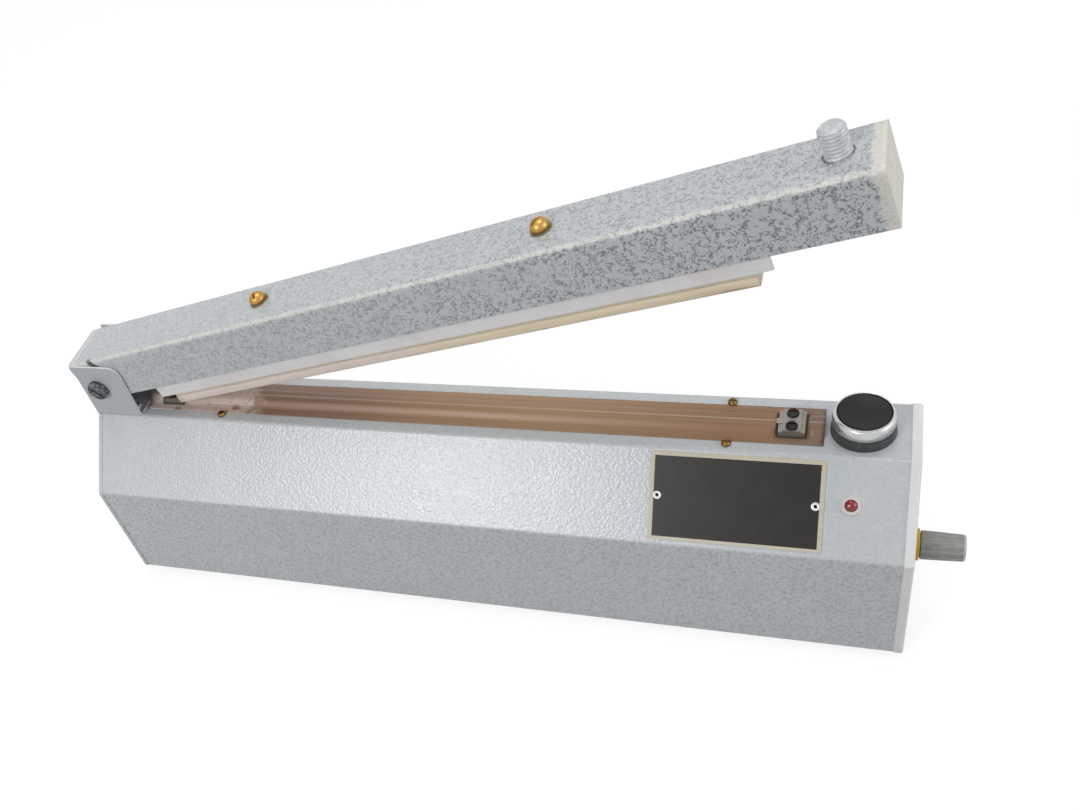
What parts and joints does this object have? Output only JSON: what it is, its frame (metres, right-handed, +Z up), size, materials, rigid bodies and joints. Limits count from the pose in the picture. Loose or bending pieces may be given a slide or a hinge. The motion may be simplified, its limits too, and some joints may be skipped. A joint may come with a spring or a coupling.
{
  "type": "impulse heat sealer",
  "caption": "Hand impulse heat sealer: folded steel base with heating ribbon, hinged sprung arm with a rubber pressure bar, push button, lamp and timer knob.",
  "frame": {"origin": "on the bench plane under the middle of the whole object as it rests with the arm open: half way along X between the raised arm's tail and the knob's end, on the base's centre plane in Y", "axes": "+X along the sealer from the hinge to the push button, +Y to the back, +Z up"},
  "size_m": [0.4288, 0.095, 0.2464],
  "materials": {
    "blue_grey_paint": "textured hammertone enamel",
    "pale_paint": "textured hammertone enamel",
    "bracket_paint": "smooth satin enamel",
    "zinc_sheet": "zinc-plated sheet",
    "steel_hardware": "zinc-plated",
    "dark_hardware": "blackened steel",
    "galvanised_stud": "galvanised",
    "spring_steel": "oiled spring wire",
    "brass": "plain turned brass",
    "aluminium_rail": "mill-finish extrusion",
    "silicone": "cream silicone rubber",
    "ptfe": "brown PTFE-coated glass cloth",
    "nichrome": "heat-tinted resistance alloy",
    "insulator": "phenolic laminate",
    "terminal_metal": "plated",
    "black_rubber": "black rubber",
    "black_plastic": "black moulded plastic",
    "chrome": "bright plated",
    "red_lens": "red translucent lens",
    "plate_black": "black printed plate with a pale border, left blank",
    "knob_grey": "grey moulded knob",
    "yellow_plastic": "yellow moulded ring",
    "pot_metal": "die cast",
    "lamination": "varnished steel laminations",
    "winding": "taped copper winding",
    "board_green": "circuit board",
    "white_plastic": "moulded nylon",
    "capacitor_blue": "sleeved can"
  },
  "bodies": {
    "base": {"base_shell": "blue_grey_paint", "board_supports": "white_plastic", "bottom_cover": "zinc_sheet", "bottom_cover_screws": "steel_hardware", "bracket_rivets": "steel_hardware", "button_bezel": "chrome", "button_housing": "black_plastic", "button_ring_nut": "black_plastic", "button_spring": "spring_steel", "cloth_screws": "brass", "contact_block": "black_plastic", "cord_gland": "black_plastic", "foot_nuts": "steel_hardware", "foot_screws": "steel_hardware", "frame_screws": "steel_hardware", "heating_ribbon": "nichrome", "hinge_bracket": "bracket_paint", "hinge_nut": "steel_hardware", "hinge_pin": "dark_hardware", "knob_collar": "yellow_plastic", "lamp_ring": "chrome", "left_end_plate": "blue_grey_paint", "nameplate": "plate_black", "nameplate_rivets": "steel_hardware", "pot_nut": "steel_hardware", "primary_winding": "winding", "ptfe_cloth": "ptfe", "return_spring": "spring_steel", "right_end_plate": "pale_paint", "rubber_feet": "black_rubber", "seal_former": "insulator", "secondary_winding": "winding", "signal_lamp": "red_lens", "terminal_blocks": "terminal_metal", "terminal_clamps": "terminal_metal", "terminal_pads": "insulator", "terminal_screws": "dark_hardware", "timer_board": "board_green", "timer_capacitor": "capacitor_blue", "timer_pot": "pot_metal", "timer_relay": "black_plastic", "transformer_core": "lamination", "transformer_frame": "zinc_sheet"},
    "arm": {"arm_channel": "blue_grey_paint", "arm_left_end": "blue_grey_paint", "arm_right_end": "pale_paint", "hinge_bush": "steel_hardware", "adjusting_stud": "galvanised_stud", "stud_bridge": "galvanised_stud", "stud_lock_nut": "galvanised_stud", "guide_washers": "galvanised_stud"},
    "pressure_bar": {"pressure_rail": "aluminium_rail", "silicone_strip": "silicone", "strip_wrap": "ptfe", "guide_screws": "brass", "guide_nuts": "galvanised_stud", "bar_springs": "spring_steel"},
    "button": {"button_cap": "black_plastic"},
    "knob": {"timer_knob": "knob_grey", "timer_shaft": "pot_metal"}
  },
  "joints": [
    {"name": "arm_hinge", "type": "hinge", "parent": "base", "child": "arm", "pos_m": [-0.19989, 0, 0.1185], "axis": [0, -1, 0], "range_deg": [-15.5, 0], "stiffness_Nm_per_rad": 3, "springref_deg": 68.75, "deforming": ["return_spring"]},
    {"name": "bar_slide", "type": "slide", "parent": "arm", "child": "pressure_bar", "axis": [-0.2672, 0, 0.9636], "range_m": [0, 0.0085], "deforming": ["bar_springs"]},
    {"name": "button_press", "type": "slide", "parent": "base", "child": "button", "axis": [0, 0, -1], "range_m": [0, 0.0035], "stiffness_N_per_m": 900, "springref_m": -0.002, "deforming": ["button_spring"]},
    {"name": "timer_turn", "type": "hinge", "parent": "base", "child": "knob", "pos_m": [0.20161, -0.02, 0.05], "axis": [1, 0, 0], "range_deg": [-150, 150]}
  ],
  "couplings": [
    {"joint": "bar_slide", "follows": "arm_hinge", "m_per_rad": -0.03142}
  ]
}
